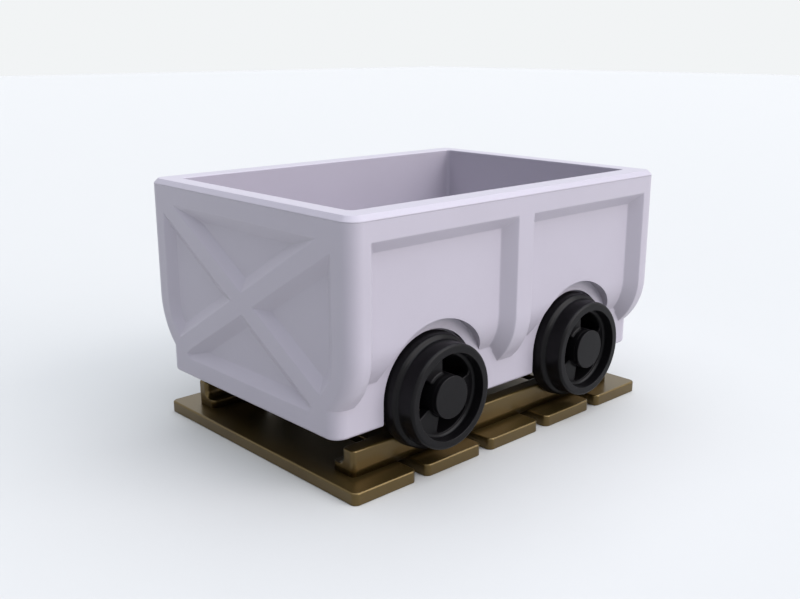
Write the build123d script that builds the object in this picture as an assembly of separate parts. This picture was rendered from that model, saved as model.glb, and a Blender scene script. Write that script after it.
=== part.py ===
from build123d import *
import math
import os

# Mine cart on a short length of track, in millimetres.
# +X runs along the rails, +Y across them, +Z up; the origin is the middle of the
# sleepers' underside. The cart stands at the middle of the track.

# ---- driving sizes ----------------------------------------------------------------------
# track
track_gauge = 600.0          # between the inner faces of the two rail heads
rail_head_width = 42.5
rail_foot_width = 78.5
rail_height = 67.2
rail_lip_height = 22.8       # the low inner lip of the foot, where the screws go
rail_lip_fillet = 20.0
rail_length = 1019.0
rail_end_radius = 15.0
rail_top_radius = 5.0
sleeper_count = 5
sleeper_width = 198.0
sleeper_gap = 33.0
sleeper_length = 820.0
sleeper_thickness = 32.0
sleeper_corner_radius = 16.0
sleeper_edge_radius = 5.0
screw_radius = 5.0
screw_head_radius = 9.0
screw_head_height = 6.0
screw_recess = 8.0           # from the sleeper's underside to the face its head bears on
screw_reach = 34.0           # into the rail
screw_spacing = 90.0         # between the two screws of one rail on one sleeper

# wheels and axles
wheelbase = 550.0
axle_height = 202.6          # above the sleepers' underside
rolling_gap = 0.3            # tread to rail head
tread_width = 49.5
tread_ring_wall = 15.0
flange_radius = 149.5
flange_crest_radius = 9.0
flange_shoulder = 33.5       # from the flange's inner face to its outer shoulder
flange_shoulder_drop = 3.2   # the shoulder's radius is this much under the crest's
flange_shoulder_turn = 65.0  # degrees, how steeply the shoulder falls to the drum
flange_hollow = 7.0
drum_radius = 133.2          # the large plain drum outboard of the flange
face_ring_radius = 110.4     # inner edge of the flat ring on the wheel's face
face_edge_radius = 8.0
dish_depth = 32.0
web_thickness = 22.0
wheel_width = 142.7          # inner end of the hub to the outer face
spoke_count = 3
opening_half_angle = 33.0    # half of the angle that one opening in the web takes
opening_corner_radius = 9.0
first_opening_angle = 175.0
hub_radius = 54.3
hub_cap_thickness = 12.0
cap_spigot_length = 8.0
cap_spigot_wall = 6.0
flange_to_rail = 3.0         # side play between flange and rail

bearing_outer_radius = 40.0
bearing_bore_clearance = 0.05
bearing_width = 18.0
seal_width = 7.0
seal_clearance = 0.3
journal_radius = 20.0
axle_radius = 27.0
thread_radius = 15.0
washer_thickness = 3.6
washer_radius = 28.0
nut_thickness = 12.0
nut_flats = 46.0
end_play = 0.4
fit_clearance = 0.05

# tub
tub_length = 1154.8
tub_width = 850.6
rim_top = 676.0
rim_depth = 20.0
rim_chamfer = 11.7
tub_corner_radius = 39.0
opening_length = 1034.0
opening_width = 710.0
opening_corner = 14.0
tub_bottom = 146.0
skirt_width = 726.6          # the narrow part between the wheels' arches and the track
skirt_corner_radius = 30.0
tuck_start = 358.0           # height where the side walls begin to curve in
tuck_radius = 185.0
bottom_edge_radius = 8.0
skin = 8.0                   # metal left behind the recesses

side_recess_depth = 33.0
side_recess_bevel = 31.0
side_recess_end = 520.0      # from the middle of the tub to the far edge of a side panel
side_recess_post = 58.0      # width of the post between the two side panels
side_recess_top = 614.0
side_recess_foot = 2.0       # above the crease between wall and skirt

end_recess_depth = 18.0
end_recess_bevel = 31.0
brace_half_height = 27.0     # half of the X brace at its crossing, measured upright
brace_half_width = 45.0      # the same, measured level
brace_centre = 405.0
end_frame_half = 357.0       # to the upright edges of the end face's recesses
end_recess_top = 614.0
end_recess_foot = 198.0

arch_radius = 186.0
well_wall = 6.0
well_to_flange = 4.0         # from a well's back to the inner face of the flange
tread_hole_clearance = 9.0   # around the tread, where it passes through the well's back

# bin (inner lining) and underframe
bin_wall = 6.0
bin_floor_top = 246.0
bin_trough_width = 532.0
bin_ledge_height = 400.0
bin_slope_top = 478.0
sill_height = 90.0
sill_width = 50.0
sill_plate = 8.0
sill_outer = 278.0
headstock_depth = 70.0
headstock_foot = 158.0
axle_box_half = 42.0
axle_box_bolt_offset = 33.0
axle_bolt_radius = 6.0
axle_bolt_flats = 18.0
axle_bolt_head = 6.0
axle_bolt_nut = 9.0
rivet_radius = 6.0
rivet_head_radius = 11.0
rivet_head_height = 5.0
hole_clearance = 0.1

# ---- places worked out from them --------------------------------------------------------
sleeper_pitch = sleeper_width + sleeper_gap
rail_inner = track_gauge / 2
rail_outer = rail_inner + rail_head_width
rail_foot_inner = rail_outer - rail_foot_width
rail_top = sleeper_thickness + rail_height
tread_radius = axle_height - rail_top - rolling_gap
flange_inner = rail_outer + flange_to_rail
hub_inner = flange_inner - tread_width
wheel_face = hub_inner + wheel_width
half_length = tub_length / 2
half_width = tub_width / 2
half_skirt = skirt_width / 2
tuck_centre = half_width - tuck_radius
tuck_foot = tuck_start - math.sqrt(tuck_radius**2 - (half_skirt - tuck_centre) ** 2)
void_half_length = half_length - end_recess_depth - skin
void_radius = tuck_radius - side_recess_depth - skin
void_skirt = half_skirt - 33.0
well_back = flange_inner - well_to_flange
tread_hole_radius = tread_radius + tread_hole_clearance
rim_foot = rim_top - rim_depth
bin_floor_foot = bin_floor_top - bin_wall
sill_foot = bin_floor_foot - sill_height
side_signs = (1, -1)
wheel_places = {
    "front_left": (1, 1),
    "front_right": (1, -1),
    "rear_left": (-1, 1),
    "rear_right": (-1, -1),
}


# ---- helpers ----------------------------------------------------------------------------
def save(solid, node, colour):
    """Write one node to its STEP file, in its own colour."""
    solid.label = node
    solid.color = Color(*colour)
    export_step(solid, os.path.join("parts", node + ".step"))


def slab(x0, x1, y0, y1, z0, z1):
    """A box between two corners."""
    block = Box(abs(x1 - x0), abs(y1 - y0), abs(z1 - z0))
    return Pos((x0 + x1) / 2, (y0 + y1) / 2, (z0 + z1) / 2) * block


def across(radius, y0, y1, x=0.0, z=0.0):
    """A cylinder that lies along Y from y0 to y1."""
    turned = Rot(90, 0, 0) * Cylinder(radius, abs(y1 - y0))
    return Pos(x, (y0 + y1) / 2, z) * turned


def upright(radius, z0, z1, x=0.0, y=0.0):
    """A cylinder that stands along Z from z0 to z1."""
    return Pos(x, y, (z0 + z1) / 2) * Cylinder(radius, abs(z1 - z0))


def hexagon_across(flats, y0, y1, x=0.0, z=0.0):
    """A hexagonal prism along Y, such as a nut or a bolt head."""
    outline = Plane.XZ * RegularPolygon(flats / math.sqrt(3), 6)
    prism = extrude(outline, abs(y1 - y0) / 2, both=True)
    return Pos(x, (y0 + y1) / 2, z) * prism


def rounded_block(length, width, z0, z1, radius):
    """An upright block with rounded vertical corners, centred on the origin."""
    return Pos(0, 0, z0) * extrude(RectangleRounded(length, width, radius), z1 - z0)


def turned(points, side):
    """A ring turned about the Y axis from (distance along Y, radius) points.

    side is +1 or -1 for the left or right end of an axle.
    """
    outline = Polyline([(radius, side * along, 0) for along, radius in points], close=True)
    return revolve(make_face(outline), Axis.Y, 360)


def ring_across(outer, inner, y0, y1, side):
    """A plain ring about the Y axis."""
    return turned([(y0, inner), (y1, inner), (y1, outer), (y0, outer)], side)


def fuse(solids):
    """Join a list of solids."""
    joined = solids[0]
    for solid in solids[1:]:
        joined = joined + solid
    return joined


# ---- track ------------------------------------------------------------------------------
def screw_places():
    """Where the rail screws stand, from the sleepers' and rails' own sizes."""
    screw_line = (rail_inner + rail_outer) / 2
    places = []
    for number in range(sleeper_count):
        middle = (number - (sleeper_count - 1) / 2) * sleeper_pitch
        reach = rail_length / 2 - 2 * screw_head_radius
        for x in (middle - screw_spacing / 2, middle + screw_spacing / 2):
            if abs(x) < reach:
                places += [(x, side * screw_line) for side in side_signs]
    return places


def make_sleeper(number):
    """One pressed sleeper plate with rounded corners and rounded top edges."""
    middle = (number - (sleeper_count - 1) / 2) * sleeper_pitch
    plate = rounded_block(sleeper_width, sleeper_length, 0, sleeper_thickness,
                          sleeper_corner_radius)
    plate = fillet(plate.faces().sort_by(Axis.Z)[-1].edges(), sleeper_edge_radius)
    plate = Pos(middle, 0, 0) * plate
    for x, y in screw_places():
        if abs(x - middle) < sleeper_width / 2:
            plate -= upright(screw_radius + hole_clearance, -1, sleeper_thickness + 1, x, y)
            plate -= upright(screw_head_radius + hole_clearance, -1, screw_recess, x, y)
    return plate


def make_rail(side):
    """One rail: an upright head flush with the outer side, and a low lip inside."""
    lip_top = sleeper_thickness + rail_lip_height
    fillet_foot = rail_inner - rail_lip_fillet
    section = make_face([
        Line((rail_outer, sleeper_thickness), (rail_outer, rail_top)),
        Line((rail_outer, rail_top), (rail_inner, rail_top)),
        Line((rail_inner, rail_top), (rail_inner, lip_top + rail_lip_fillet)),
        RadiusArc((rail_inner, lip_top + rail_lip_fillet), (fillet_foot, lip_top),
                  rail_lip_fillet),
        Line((fillet_foot, lip_top), (rail_foot_inner, lip_top)),
        Line((rail_foot_inner, lip_top), (rail_foot_inner, sleeper_thickness)),
        Line((rail_foot_inner, sleeper_thickness), (rail_outer, sleeper_thickness)),
    ])
    bar = extrude(Plane.YZ * section, rail_length / 2, both=True)
    plan = rounded_block(rail_length, rail_foot_width, 0, rail_top + 1, rail_end_radius)
    bar = bar & (Pos(0, rail_outer - rail_foot_width / 2, 0) * plan)
    bar = fillet(bar.faces().sort_by(Axis.Z)[-1].edges(), rail_top_radius)
    if side < 0:
        bar = mirror(bar, Plane.XZ)
    for x, y in screw_places():
        if y * side > 0:
            bar -= upright(screw_radius + hole_clearance, 0,
                           sleeper_thickness + screw_reach + hole_clearance, x, y)
    return bar


def make_rail_screws():
    """Screws from beneath, through the sleepers and up into the rails."""
    screws = []
    for x, y in screw_places():
        head = upright(screw_head_radius, screw_recess - screw_head_height, screw_recess, x, y)
        screws.append(head + upright(screw_radius, screw_recess,
                                     sleeper_thickness + screw_reach, x, y))
    return Compound(children=screws)


# ---- tub --------------------------------------------------------------------------------
def wall_section(offset, z_low, z_high):
    """Half of the tub's cross-section, moved inwards by offset, as a list of curves.

    It rises from the curve's height z_low, round the tuck and up the straight wall.
    """
    radius = tuck_radius - offset
    wall = half_width - offset
    low = (tuck_centre + math.sqrt(radius**2 - (tuck_start - z_low) ** 2), z_low)
    return low, (wall, tuck_start), (wall, z_high), radius


def make_outer_block():
    """The tub's outside as one solid: tucked upper part with a narrow skirt below."""
    low, knee, top, radius = wall_section(0.0, tuck_foot, rim_foot)
    mirrored = [(-point[0], point[1]) for point in (low, knee, top)]
    section = make_face([
        RadiusArc(low, knee, -radius),
        Line(knee, top),
        Line(top, mirrored[2]),
        Line(mirrored[2], mirrored[1]),
        RadiusArc(mirrored[1], mirrored[0], -radius),
        Line(mirrored[0], low),
    ])
    upper = extrude(Plane.YZ * section, half_length, both=True)
    ends = upper.faces().filter_by(Axis.X)
    corners = [edge for face in ends for edge in face.edges()
               if abs(edge.center().Y) > half_skirt - 1.0]
    upper = fillet(corners, tub_corner_radius)
    skirt = rounded_block(tub_length, skirt_width, tub_bottom, tuck_foot + 1.0,
                          skirt_corner_radius)
    skirt = fillet(skirt.faces().sort_by(Axis.Z)[0].edges(), bottom_edge_radius)
    return upper + skirt


def make_void():
    """The space inside the shell, open at the top and at the bottom."""
    z_low = tuck_start - math.sqrt(void_radius**2 - (void_skirt - tuck_centre) ** 2)
    low, knee, top, radius = wall_section(side_recess_depth + skin, z_low, rim_foot)
    foot = (low[0], tub_bottom)
    right = [foot, low, knee, top]
    left = [(-y, z) for y, z in right]
    section = make_face([
        Line(right[0], right[1]),
        RadiusArc(right[1], right[2], -radius),
        Line(right[2], right[3]),
        Line(right[3], left[3]),
        Line(left[3], left[2]),
        RadiusArc(left[2], left[1], -radius),
        Line(left[1], left[0]),
        Line(left[0], right[0]),
    ])
    return extrude(Plane.YZ * section, void_half_length, both=True)


def recess_band(x, depth, beyond):
    """The cross-section of a side panel's recess where it is depth deep, at place x."""
    slope = side_recess_bevel / side_recess_depth
    foot = tuck_foot + side_recess_foot
    out_low, out_knee, out_top, out_radius = wall_section(
        -beyond, foot - slope * beyond * 0.5, side_recess_top + slope * beyond)
    in_low, in_knee, in_top, in_radius = wall_section(
        depth, foot + slope * depth, side_recess_top - slope * depth)
    outline = make_face([
        RadiusArc(out_low, out_knee, -out_radius),
        Line(out_knee, out_top),
        Line(out_top, in_top),
        Line(in_top, in_knee),
        RadiusArc(in_knee, in_low, in_radius),
        Line(in_low, out_low),
    ])
    return Plane(origin=(x, 0, 0), x_dir=(0, 1, 0), z_dir=(1, 0, 0)) * outline


def side_recess():
    """The cutter for one side panel (on +X and +Y): bevelled ends and an even floor."""
    beyond = 6.0
    lead = side_recess_bevel / side_recess_depth * beyond / 2
    inner = side_recess_post / 2
    stations = [
        (inner - lead, -beyond / 2),
        (inner + side_recess_bevel, side_recess_depth),
        (side_recess_end - side_recess_bevel, side_recess_depth),
        (side_recess_end + lead, -beyond / 2),
    ]
    bands = [recess_band(x, depth, beyond) for x, depth in stations]
    spans = [loft([bands[i], bands[i + 1]], ruled=True) for i in range(len(bands) - 1)]
    return fuse(spans)


def inset(points, distance):
    """A convex polygon with every side moved inwards; points run anticlockwise."""
    count = len(points)
    moved = []
    for i in range(count):
        (ax, ay), (bx, by) = points[i], points[(i + 1) % count]
        length = math.hypot(bx - ax, by - ay)
        nx, ny = -(by - ay) / length, (bx - ax) / length
        moved.append(((ax + nx * distance, ay + ny * distance), (bx - ax, by - ay)))
    corners = []
    for i in range(count):
        (px, py), (ux, uy) = moved[i - 1]
        (qx, qy), (vx, vy) = moved[i]
        cross = ux * vy - uy * vx
        step = ((qx - px) * vy - (qy - py) * vx) / cross
        corners.append((px + ux * step, py + uy * step))
    return corners


def end_recess(points):
    """The cutter for one recess of the end face at +X, from its outline in (y, z)."""
    beyond = 4.0
    slope = end_recess_bevel / end_recess_depth
    outer = inset(points, -slope * beyond)
    inner = inset(points, end_recess_bevel)
    faces = []
    for x, outline in ((half_length + beyond, outer), (half_length - end_recess_depth, inner)):
        face = make_face(Polyline([(x, y, z) for y, z in outline], close=True))
        faces.append(face)
    return loft(faces, ruled=True)


def end_recess_outlines():
    """The four recesses that leave the X brace standing, as (y, z) outlines."""
    slope = (end_recess_top - brace_centre - brace_half_height) / 306.0
    side_top = brace_centre + (end_frame_half - brace_half_width) * slope
    side_foot = brace_centre - (309.0 - brace_half_width) * slope
    foot_reach = (brace_centre - brace_half_height - end_recess_foot) / slope
    above = [(0, brace_centre + brace_half_height), (306.0, end_recess_top),
             (-306.0, end_recess_top)]
    below = [(0, brace_centre - brace_half_height), (-foot_reach, end_recess_foot),
             (foot_reach, end_recess_foot)]
    beside = [(brace_half_width, brace_centre), (309.0, side_foot), (345.0, 292.0),
              (end_frame_half, 335.0), (end_frame_half, side_top)]
    mirrored = [(-y, z) for y, z in reversed(beside)]
    return [above, below, beside, mirrored]


def below_and_round(radius, y0, y1, x):
    """A half-round arch about the axle, open below, from y0 to y1."""
    arch = across(radius, y0, y1, x, axle_height)
    return arch + slab(x - radius, x + radius, y0, y1, tub_bottom - 10, axle_height)


def arch_cutter(x, side):
    """The space for a wheel: a wide shallow arch, and a smaller one for its tread."""
    cutter = below_and_round(arch_radius, well_back, half_width + 20, x)
    cutter += below_and_round(tread_hole_radius, sill_outer, well_back + 1, x)
    if side < 0:
        cutter = mirror(cutter, Plane.XZ)
    return cutter


def make_tub_shell():
    """The tub's outer walls: side panels, X-braced ends and four wheel arches."""
    shell = make_outer_block() - make_void()
    panel = side_recess()
    for x_side in side_signs:
        for y_side in side_signs:
            cutter = panel if x_side > 0 else mirror(panel, Plane.YZ)
            shell -= cutter if y_side > 0 else mirror(cutter, Plane.XZ)
    foot_limit = Plane.YZ * make_face(Polyline([
        (-278.0, 800.0), (-278.0, 214.0), (-236.0, 190.0), (236.0, 190.0), (278.0, 214.0),
        (278.0, 800.0)], close=True))
    foot_limit = extrude(foot_limit, 2 * half_length, both=True)
    for number, outline in enumerate(end_recess_outlines()):
        cutter = end_recess(outline)
        if number == 1:
            cutter = cutter & foot_limit
        shell = shell - cutter - mirror(cutter, Plane.YZ)
    for x_side, y_side in wheel_places.values():
        shell -= arch_cutter(x_side * wheelbase / 2, y_side)
    return shell


def tub_plates():
    """The shell as its four welded plates: two sides and two ends."""
    shell = make_tub_shell()
    reach = half_length + 10
    plates = {}
    for end_name, side in (("front", 1), ("rear", -1)):
        plates[f"tub_end_{end_name}"] = shell & slab(
            side * void_half_length, side * reach, -reach, reach, 0, rim_foot + 10)
    for side_name, side in (("left", 1), ("right", -1)):
        plates[f"tub_side_{side_name}"] = shell & slab(
            -void_half_length, void_half_length, 0, side * reach, 0, rim_foot + 10)
    return plates


def rim_bars():
    """The flat rim that closes the top between walls and bin, as four mitred bars."""
    ring = rounded_block(tub_length, tub_width, rim_foot, rim_top, tub_corner_radius)
    ring = chamfer(ring.faces().sort_by(Axis.Z)[-1].edges(), rim_chamfer)
    ring -= rounded_block(opening_length, opening_width, rim_foot - 1, rim_top + 1,
                          opening_corner)
    reach = half_width + 50
    lead = opening_length / 2 - opening_width / 2
    wedge = make_face(Polyline([(lead, 0), (lead + reach, -reach), (lead + reach, reach)],
                               close=True))
    ends = Pos(0, 0, rim_foot - 1) * extrude(wedge, rim_depth + 2)
    bars = {"rim_front": ring & ends, "rim_rear": ring & mirror(ends, Plane.YZ)}
    sides = ring - ends - mirror(ends, Plane.YZ)
    for side_name, side in (("left", 1), ("right", -1)):
        bars[f"rim_{side_name}"] = sides & slab(-half_length, half_length, 0,
                                                side * reach, rim_foot, rim_top)
    return bars


def bin_plates():
    """The welded bin: floor, two ends, and on each side a lower wall, shoulder and wall."""
    half = opening_length / 2
    half_open = opening_width / 2
    half_trough = bin_trough_width / 2
    drop = bin_wall * 1.35
    inner = [(half_trough, bin_floor_top), (half_trough, bin_ledge_height),
             (half_open, bin_slope_top), (half_open, rim_foot)]
    outer = [(half_trough + bin_wall, bin_floor_top),
             (half_trough + bin_wall, bin_ledge_height - drop),
             (half_open + bin_wall, bin_slope_top - drop), (half_open + bin_wall, rim_foot)]
    plates = {}
    for side_name, side in (("left", 1), ("right", -1)):
        for number, part_name in enumerate(("lower_wall", "shoulder", "wall")):
            corners = [(side * y, z) for y, z in
                       (inner[number], inner[number + 1], outer[number + 1], outer[number])]
            section = make_face(Polyline(corners, close=True))
            plates[f"bin_{part_name}_{side_name}"] = extrude(Plane.YZ * section, half,
                                                            both=True)
    outline = outer + [(-y, z) for y, z in reversed(outer)]
    end = extrude(Plane.YZ * make_face(Polyline(outline, close=True)), bin_wall)
    plates["bin_end_front"] = Pos(half, 0, 0) * end
    plates["bin_end_rear"] = Pos(-half - bin_wall, 0, 0) * end
    floor = slab(-half - bin_wall, half + bin_wall, -half_trough - bin_wall,
                 half_trough + bin_wall, bin_floor_foot, bin_floor_top)
    for x, y in rivet_places():
        floor -= upright(rivet_radius + hole_clearance, bin_floor_foot - 1,
                         bin_floor_top + 1, x, y)
    plates["bin_floor"] = floor
    return plates


def make_wheel_well(x, side):
    """A tray that closes one wheel arch behind the flange, with a hole for the tread."""
    reach = half_width
    tray = across(arch_radius + well_wall, well_back - well_wall, reach, x, axle_height)
    tray &= slab(x - 300, x + 300, 0, reach, axle_height, axle_height + 300)
    tray &= make_void()
    if side < 0:
        tray = mirror(tray, Plane.XZ)
    return tray - arch_cutter(x, side)


# ---- underframe -------------------------------------------------------------------------
def rivet_places():
    """Rivets that hold the bin's floor to the sills and the headstocks."""
    line = sill_outer - sill_width / 2 - 8.0
    along = void_half_length - headstock_depth + rivet_head_radius + 6.0
    places = [(x, side * line) for x in (-400.0, -150.0, 150.0, 400.0) for side in side_signs]
    places += [(x_side * along, y) for x_side in side_signs for y in (-110.0, 110.0)]
    return places


def make_sill(side):
    """A channel that runs under the bin, its back to the wheels."""
    half = void_half_length - headstock_depth
    inner = sill_outer - sill_width
    channel = slab(-half, half, inner, sill_outer, sill_foot, bin_floor_foot)
    channel -= slab(-half - 1, half + 1, inner - 1, sill_outer - sill_plate,
                    sill_foot + sill_plate, bin_floor_foot - sill_plate)
    for x_side in side_signs:
        x = x_side * wheelbase / 2
        channel -= across(axle_radius + fit_clearance, inner - 1, sill_outer + 1, x, axle_height)
        for offset in side_signs:
            channel -= across(axle_bolt_radius + hole_clearance, inner - 1, sill_outer + 1,
                              x + offset * axle_box_bolt_offset,
                              axle_height - axle_box_bolt_offset * 0.75)
    if side < 0:
        channel = mirror(channel, Plane.XZ)
    for x, y in rivet_places():
        if y * side > 0 and abs(x) < half:
            channel -= upright(rivet_radius + hole_clearance, bin_floor_foot - 20,
                               bin_floor_foot + 1, x, y)
    return channel


def make_headstock(side):
    """The cross beam at one end, between the sills' ends and the shell."""
    inner = void_half_length - headstock_depth
    beam = slab(inner, void_half_length, -sill_outer, sill_outer, headstock_foot,
                bin_floor_foot)
    for x, y in rivet_places():
        if x > inner:
            beam -= upright(rivet_radius + hole_clearance, bin_floor_foot - 30,
                            bin_floor_foot + 1, x, y)
    return beam if side > 0 else mirror(beam, Plane.YZ)


def make_rivets():
    """Dome-headed rivets through the bin's floor."""
    rivets = []
    for x, y in rivet_places():
        head = upright(rivet_head_radius, bin_floor_top, bin_floor_top + rivet_head_height, x, y)
        head = fillet(head.edges().sort_by(Axis.Z)[-1], rivet_head_height * 0.8)
        rivets.append(head + upright(rivet_radius, bin_floor_foot - sill_plate,
                                     bin_floor_top, x, y))
    return Compound(children=rivets)


def make_axle_box(x, side):
    """A block inside a sill that grips the axle."""
    inner = sill_outer - sill_width + 2.0
    outer = sill_outer - sill_plate
    block = slab(x - axle_box_half - 8, x + axle_box_half + 8, side * inner, side * outer,
                 sill_foot + sill_plate, bin_floor_foot - sill_plate)
    block = chamfer(block.edges().filter_by(Axis.Y), 6.0)
    block -= across(axle_radius + fit_clearance, side * (inner - 1), side * (outer + 1), x,
                    axle_height)
    for offset in side_signs:
        block -= across(axle_bolt_radius + hole_clearance, side * (inner - 1),
                        side * (outer + 1), x + offset * axle_box_bolt_offset,
                        axle_height - axle_box_bolt_offset * 0.75)
    return block


def make_axle(x):
    """A fixed axle: plain middle, journals for the bearings and threaded ends."""
    shoulder = hub_inner + seal_width + 0.5
    washer_face = outer_bearing_end + end_play
    tip = washer_face + washer_thickness + nut_thickness + 3.0
    half = turned([(0.0, 0.0), (tip, 0.0), (tip, thread_radius - 1.5),
                   (tip - 1.5, thread_radius), (washer_face, thread_radius),
                   (washer_face, journal_radius), (shoulder, journal_radius),
                   (shoulder, axle_radius), (0.0, axle_radius)], 1)
    return Pos(x, 0, axle_height) * (half + mirror(half, Plane.XZ))


def make_axle_bolts():
    """Bolts through each well's back, sill and axle box, with their nuts."""
    bolts = []
    head_face = sill_outer
    nut_face = sill_outer - sill_width + 2.0
    for x_side, side in wheel_places.values():
        for offset in side_signs:
            x = x_side * wheelbase / 2 + offset * axle_box_bolt_offset
            z = axle_height - axle_box_bolt_offset * 0.75
            bolt = hexagon_across(axle_bolt_flats, side * head_face,
                                  side * (head_face + axle_bolt_head), x, z)
            bolt += hexagon_across(axle_bolt_flats, side * nut_face,
                                   side * (nut_face - axle_bolt_nut), x, z)
            bolt += across(axle_bolt_radius, side * nut_face, side * head_face, x, z)
            bolts.append(bolt)
    return Compound(children=bolts)


# ---- wheels -----------------------------------------------------------------------------
inner_bearing_start = hub_inner + seal_width + 1.0
web_outer = wheel_face - dish_depth
web_inner = web_outer - web_thickness
hub_end = wheel_face - hub_cap_thickness
outer_bearing_start = web_inner + 2.0
outer_bearing_end = outer_bearing_start + bearing_width
bore_relief = bearing_outer_radius - 6.0


def web_opening(angle, side):
    """One opening through the web: a sector between hub and rim with rounded corners."""
    low = hub_radius + 7.0
    high = face_ring_radius - 13.0
    start = math.radians(angle - opening_half_angle)
    stop = math.radians(angle + opening_half_angle)
    middle = math.radians(angle)

    def at(radius, turn):
        return (radius * math.cos(turn), radius * math.sin(turn))

    outline = make_face([
        ThreePointArc(at(high, start), at(high, middle), at(high, stop)),
        Line(at(high, stop), at(low, stop)),
        ThreePointArc(at(low, stop), at(low, middle), at(low, start)),
        Line(at(low, start), at(high, start)),
    ])
    prism = extrude(Plane.XZ * outline, wheel_width, both=True)
    uprights = prism.edges().filter_by(Axis.Y)
    prism = fillet(uprights, opening_corner_radius)
    return Pos(0, side * web_outer, 0) * prism


def make_wheel(x, side):
    """One cast wheel: tread ring, flange, drum, dished web with openings, and hub."""
    dish_fillet = 9.0
    crest = flange_inner + flange_crest_radius
    slope_end = flange_radius - flange_crest_radius
    shoulder = flange_inner + flange_shoulder
    shoulder_top = flange_radius - flange_shoulder_drop
    slope_turn = math.atan2(flange_shoulder_drop, shoulder - crest)
    heart = (shoulder - flange_crest_radius * math.sin(slope_turn),
             shoulder_top - flange_crest_radius * math.cos(slope_turn))
    fall = math.radians(flange_shoulder_turn)

    def point(along, radius):
        return (radius, side * along)

    def arc(start, middle, stop):
        return ThreePointArc(point(*start), point(*middle), point(*stop))

    def on_shoulder(turn):
        return (heart[0] + flange_crest_radius * math.sin(turn),
                heart[1] + flange_crest_radius * math.cos(turn))

    def in_hollow(turn, along):
        return (along - flange_hollow * math.sin(turn),
                drum_radius + flange_hollow * (1 - math.cos(turn)))

    half_turn = math.sqrt(0.5)
    shoulder_end = on_shoulder(fall)
    hollow_start = drum_radius + flange_hollow * (1 - math.cos(fall))
    run = (shoulder_end[1] - hollow_start) / math.tan(fall)
    drum_start = shoulder_end[0] + run + flange_hollow * math.sin(fall)
    section = make_face([
        Line(point(hub_inner, bearing_outer_radius), point(hub_inner, hub_radius)),
        Line(point(hub_inner, hub_radius), point(web_inner, hub_radius)),
        Line(point(web_inner, hub_radius), point(web_inner, tread_radius - tread_ring_wall)),
        Line(point(web_inner, tread_radius - tread_ring_wall),
             point(hub_inner, tread_radius - tread_ring_wall)),
        Line(point(hub_inner, tread_radius - tread_ring_wall), point(hub_inner, tread_radius)),
        Line(point(hub_inner, tread_radius), point(flange_inner, tread_radius)),
        Line(point(flange_inner, tread_radius), point(flange_inner, slope_end)),
        arc((flange_inner, slope_end),
            (crest - flange_crest_radius * half_turn,
             slope_end + flange_crest_radius * half_turn),
            (crest, flange_radius)),
        Line(point(crest, flange_radius), point(*on_shoulder(slope_turn))),
        arc(on_shoulder(slope_turn), on_shoulder((slope_turn + fall) / 2), shoulder_end),
        Line(point(*shoulder_end), point(*in_hollow(fall, drum_start))),
        arc(in_hollow(fall, drum_start), in_hollow(fall / 2, drum_start),
            (drum_start, drum_radius)),
        Line(point(drum_start, drum_radius), point(wheel_face - face_edge_radius, drum_radius)),
        arc((wheel_face - face_edge_radius, drum_radius),
            (wheel_face - face_edge_radius * (1 - half_turn),
             drum_radius - face_edge_radius * (1 - half_turn)),
            (wheel_face, drum_radius - face_edge_radius)),
        Line(point(wheel_face, drum_radius - face_edge_radius),
             point(wheel_face, face_ring_radius)),
        Line(point(wheel_face, face_ring_radius), point(web_outer + dish_fillet, face_ring_radius)),
        arc((web_outer + dish_fillet, face_ring_radius),
            (web_outer + dish_fillet * (1 - half_turn),
             face_ring_radius - dish_fillet * (1 - half_turn)),
            (web_outer, face_ring_radius - dish_fillet)),
        Line(point(web_outer, face_ring_radius - dish_fillet), point(web_outer, hub_radius)),
        Line(point(web_outer, hub_radius), point(hub_end, hub_radius)),
        Line(point(hub_end, hub_radius), point(hub_end, bearing_outer_radius)),
        Line(point(hub_end, bearing_outer_radius), point(outer_bearing_start, bearing_outer_radius)),
        Line(point(outer_bearing_start, bearing_outer_radius), point(outer_bearing_start, bore_relief)),
        Line(point(outer_bearing_start, bore_relief),
             point(inner_bearing_start + bearing_width, bore_relief)),
        Line(point(inner_bearing_start + bearing_width, bore_relief),
             point(inner_bearing_start + bearing_width, bearing_outer_radius)),
        Line(point(inner_bearing_start + bearing_width, bearing_outer_radius),
             point(hub_inner, bearing_outer_radius)),
    ])
    wheel = revolve(section, Axis.Y, 360)
    for number in range(spoke_count):
        angle = first_opening_angle + number * 360.0 / spoke_count
        wheel -= web_opening(angle, side)
    return Pos(x, 0, axle_height) * wheel


def make_bearings(x, side):
    """The two ball bearings of one wheel, each drawn as a ring with its seal grooves."""
    rings = []
    for start in (inner_bearing_start, outer_bearing_start):
        stop = start + bearing_width
        bore = journal_radius + bearing_bore_clearance
        rim = bearing_outer_radius
        mid_low, mid_high, groove = bore + 7.0, rim - 7.0, 1.0
        rings.append(turned([
            (start, bore), (stop, bore), (stop, mid_low), (stop - groove, mid_low),
            (stop - groove, mid_high), (stop, mid_high), (stop, rim), (start, rim),
            (start, mid_high), (start + groove, mid_high), (start + groove, mid_low),
            (start, mid_low),
        ], side))
    return Compound(children=[Pos(x, 0, axle_height) * ring for ring in rings])


def make_seal(x, side):
    """The grease seal at the inner end of the hub."""
    ring = ring_across(bearing_outer_radius, axle_radius + seal_clearance, hub_inner + 0.5,
                       hub_inner + seal_width, side)
    return Pos(x, 0, axle_height) * ring


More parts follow.
